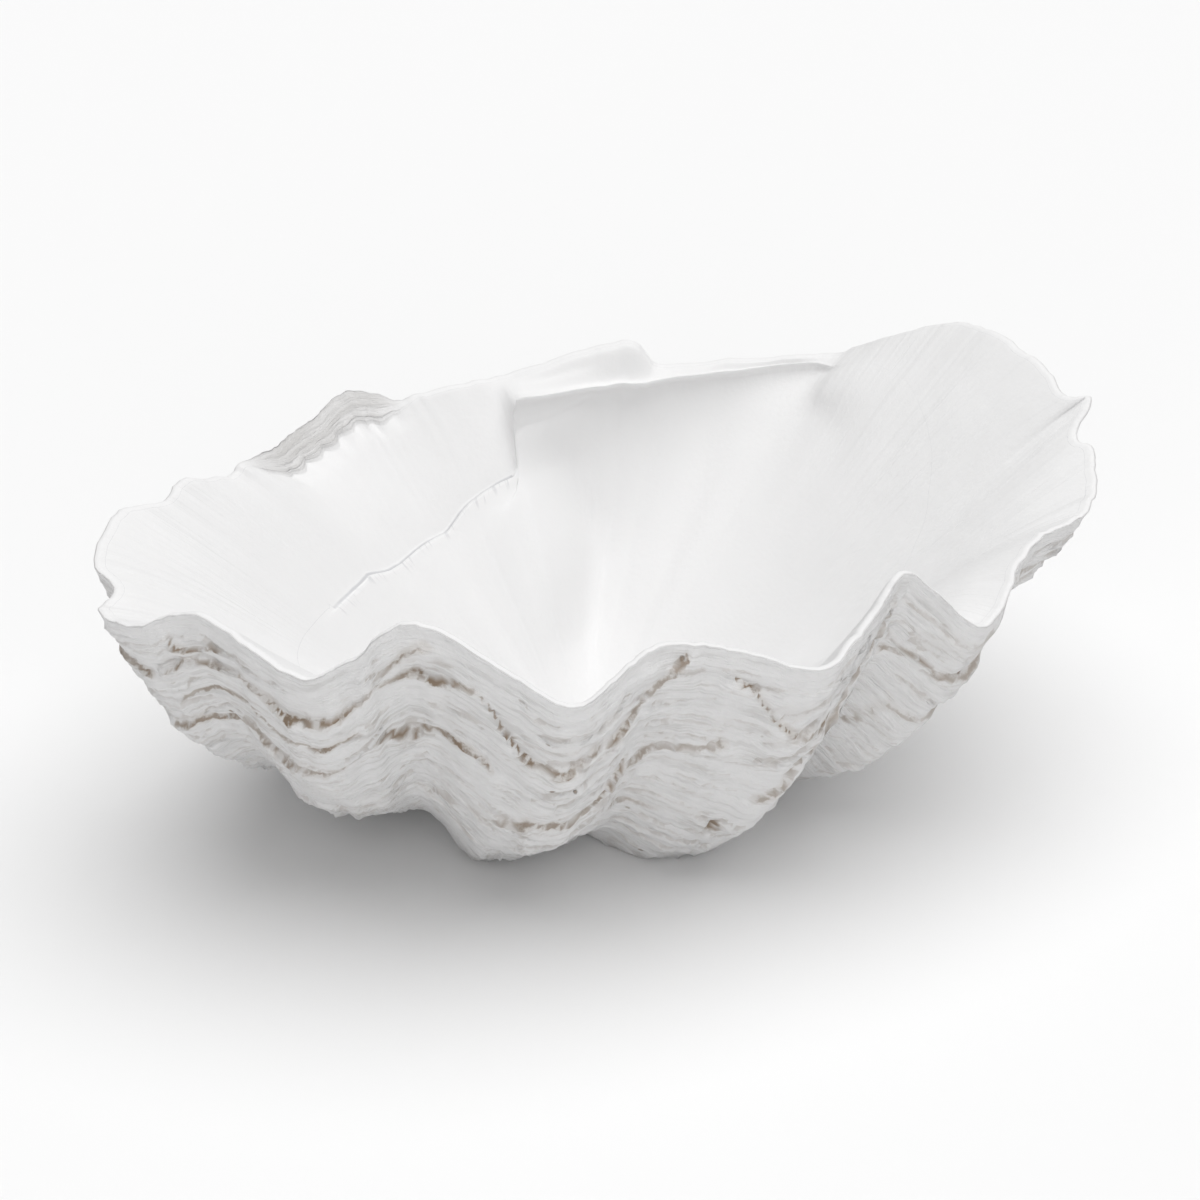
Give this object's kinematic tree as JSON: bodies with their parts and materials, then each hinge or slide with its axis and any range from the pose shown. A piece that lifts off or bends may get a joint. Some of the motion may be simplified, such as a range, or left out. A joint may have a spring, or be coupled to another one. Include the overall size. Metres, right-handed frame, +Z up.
{
  "type": "clam shell",
  "caption": "Bowl-shaped half of a giant clam shell with deep outer ribs, a wavy scalloped rim and a toothed hinge; rests on its round side as a dish or ornament.",
  "frame": {"origin": "under the middle of the bounding box, on the surface the shell rests on", "axes": "+X along the hinge, towards the fan-shaped end; +Y towards the hinge; +Z up out of the open side"},
  "size_m": [0.445, 0.2928, 0.1733],
  "materials": {
    "shell": "matte white, with brown stain in the growth ledges"
  },
  "bodies": {
    "root": {"shell": "shell"}
  },
  "joints": []
}
